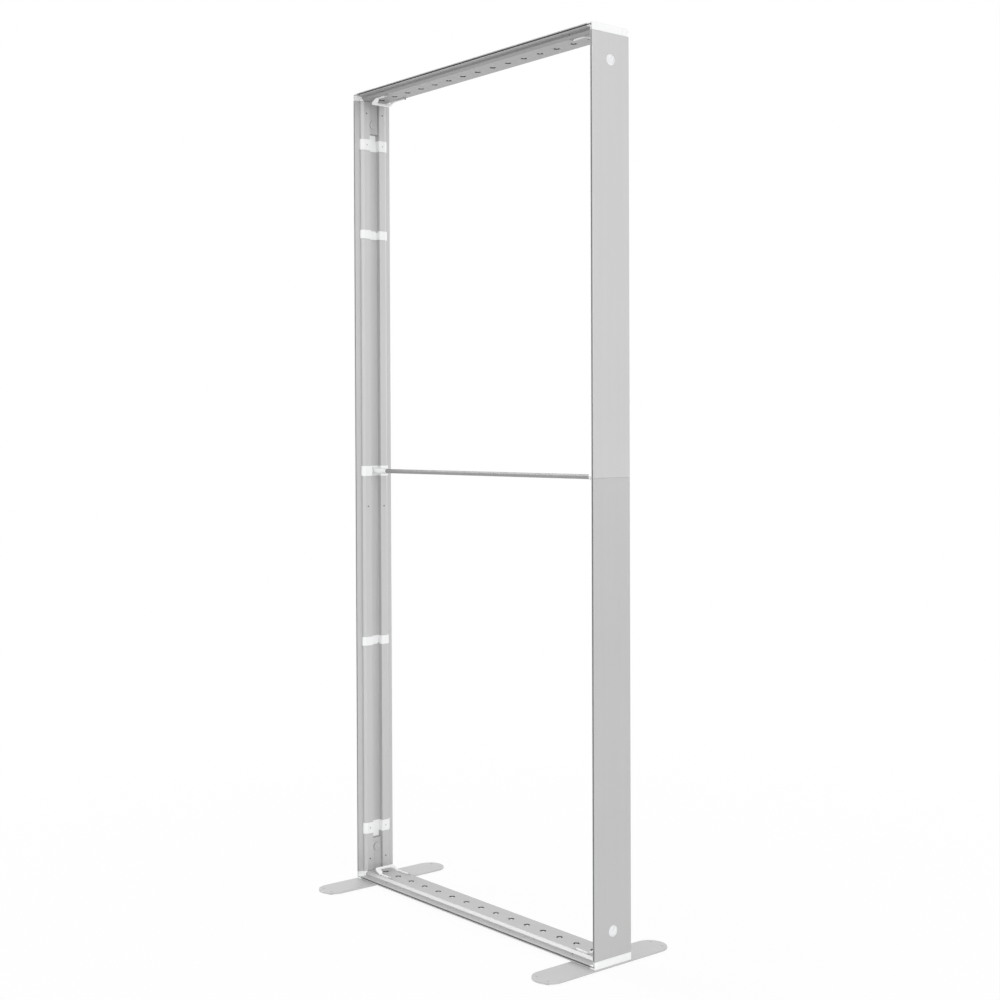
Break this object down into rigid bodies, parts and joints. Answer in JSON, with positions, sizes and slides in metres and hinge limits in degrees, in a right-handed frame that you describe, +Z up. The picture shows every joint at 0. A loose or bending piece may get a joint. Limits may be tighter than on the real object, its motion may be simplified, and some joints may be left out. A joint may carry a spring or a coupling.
{
  "type": "lightbox display wall",
  "caption": "Free-standing lightbox frame of hollow extrusion with fabric grooves, corner caps, hinged lock bails, cam locks, channel clips, a sprung cross bar and foot plates.",
  "frame": {"origin": "on the floor, under the middle of the frame", "axes": "+X to the viewer's right along the frame's width, -Y out of the front, +Z up"},
  "size_m": [1, 0.42, 2.257],
  "materials": {
    "aluminium_profile": "satin anodised",
    "white_plastic": "satin moulded",
    "grey_plastic": "matt moulded",
    "foot_plate": "powder coated",
    "light_board": "white lacquered board",
    "lens": "clear moulded",
    "steel": "zinc plated"
  },
  "bodies": {
    "frame": {"left_lower_post": "aluminium_profile", "left_upper_post": "aluminium_profile", "right_lower_post": "aluminium_profile", "right_upper_post": "aluminium_profile", "bottom_rail": "aluminium_profile", "top_rail": "aluminium_profile", "left_front_splice_bar": "aluminium_profile", "left_back_splice_bar": "aluminium_profile", "right_front_splice_bar": "aluminium_profile", "right_back_splice_bar": "aluminium_profile", "crossbar_tube": "aluminium_profile", "left_crossbar_sleeve": "white_plastic", "crossbar_spring": "steel", "bottom_left_corner_cap": "white_plastic", "bottom_right_corner_cap": "white_plastic", "top_left_corner_cap": "white_plastic", "top_right_corner_cap": "white_plastic", "bottom_left_corner_connector": "grey_plastic", "bottom_right_corner_connector": "grey_plastic", "top_left_corner_connector": "grey_plastic", "top_right_corner_connector": "grey_plastic", "left_clip_1": "white_plastic", "left_clip_2": "white_plastic", "left_clip_3": "white_plastic", "left_clip_4": "white_plastic", "left_clip_5": "white_plastic", "right_clip_1": "white_plastic", "right_clip_2": "white_plastic", "right_clip_3": "white_plastic", "right_clip_4": "white_plastic", "right_clip_5": "white_plastic", "left_foot_plate": "foot_plate", "right_foot_plate": "foot_plate", "left_foot_pad_1": "white_plastic", "left_foot_pad_2": "white_plastic", "left_foot_pad_3": "white_plastic", "left_foot_pad_4": "white_plastic", "right_foot_pad_1": "white_plastic", "right_foot_pad_2": "white_plastic", "right_foot_pad_3": "white_plastic", "right_foot_pad_4": "white_plastic", "left_foot_front_screw": "steel", "left_foot_back_screw": "steel", "right_foot_front_screw": "steel", "right_foot_back_screw": "steel", "bottom_led_board": "light_board", "top_led_board": "light_board", "bottom_led_lens_strip": "lens", "top_led_lens_strip": "lens"},
    "bottom_left_turn_lock": {"bottom_left_turn_lock": "white_plastic"},
    "bottom_right_turn_lock": {"bottom_right_turn_lock": "white_plastic"},
    "top_left_turn_lock": {"top_left_turn_lock": "white_plastic"},
    "top_right_turn_lock": {"top_right_turn_lock": "white_plastic"},
    "bottom_left_lock_bail": {"bottom_left_lock_bail": "white_plastic"},
    "bottom_right_lock_bail": {"bottom_right_lock_bail": "white_plastic"},
    "top_left_lock_bail": {"top_left_lock_bail": "white_plastic"},
    "top_right_lock_bail": {"top_right_lock_bail": "white_plastic"},
    "right_crossbar_sleeve": {"right_crossbar_sleeve": "white_plastic"}
  },
  "joints": [
    {"name": "bottom_left_lock_turn", "type": "hinge", "parent": "frame", "child": "bottom_left_turn_lock", "pos_m": [-0.5, 0, 0.089], "axis": [1, 0, 0], "range_deg": [0, 90]},
    {"name": "bottom_right_lock_turn", "type": "hinge", "parent": "frame", "child": "bottom_right_turn_lock", "pos_m": [0.5, 0, 0.089], "axis": [-1, 0, 0], "range_deg": [0, 90]},
    {"name": "top_left_lock_turn", "type": "hinge", "parent": "frame", "child": "top_left_turn_lock", "pos_m": [-0.5, 0, 2.175], "axis": [1, 0, 0], "range_deg": [0, 90]},
    {"name": "top_right_lock_turn", "type": "hinge", "parent": "frame", "child": "top_right_turn_lock", "pos_m": [0.5, 0, 2.175], "axis": [-1, 0, 0], "range_deg": [0, 90]},
    {"name": "bottom_left_bail_swing", "type": "hinge", "parent": "frame", "child": "bottom_left_lock_bail", "pos_m": [-0.378, 0, 0.028], "axis": [0, 1, 0], "range_deg": [0, 95]},
    {"name": "bottom_right_bail_swing", "type": "hinge", "parent": "frame", "child": "bottom_right_lock_bail", "pos_m": [0.402, 0, 0.028], "axis": [0, -1, 0], "range_deg": [0, 95]},
    {"name": "top_left_bail_swing", "type": "hinge", "parent": "frame", "child": "top_left_lock_bail", "pos_m": [-0.378, 0, 2.236], "axis": [0, -1, 0], "range_deg": [0, 95]},
    {"name": "top_right_bail_swing", "type": "hinge", "parent": "frame", "child": "top_right_lock_bail", "pos_m": [0.402, 0, 2.236], "axis": [0, 1, 0], "range_deg": [0, 95]},
    {"name": "right_sleeve_slide", "type": "slide", "parent": "frame", "child": "right_crossbar_sleeve", "axis": [-1, 0, 0], "range_m": [0, 0.016], "stiffness_N_per_m": 500, "springref_m": -0.006, "deforming": ["crossbar_spring"]}
  ]
}
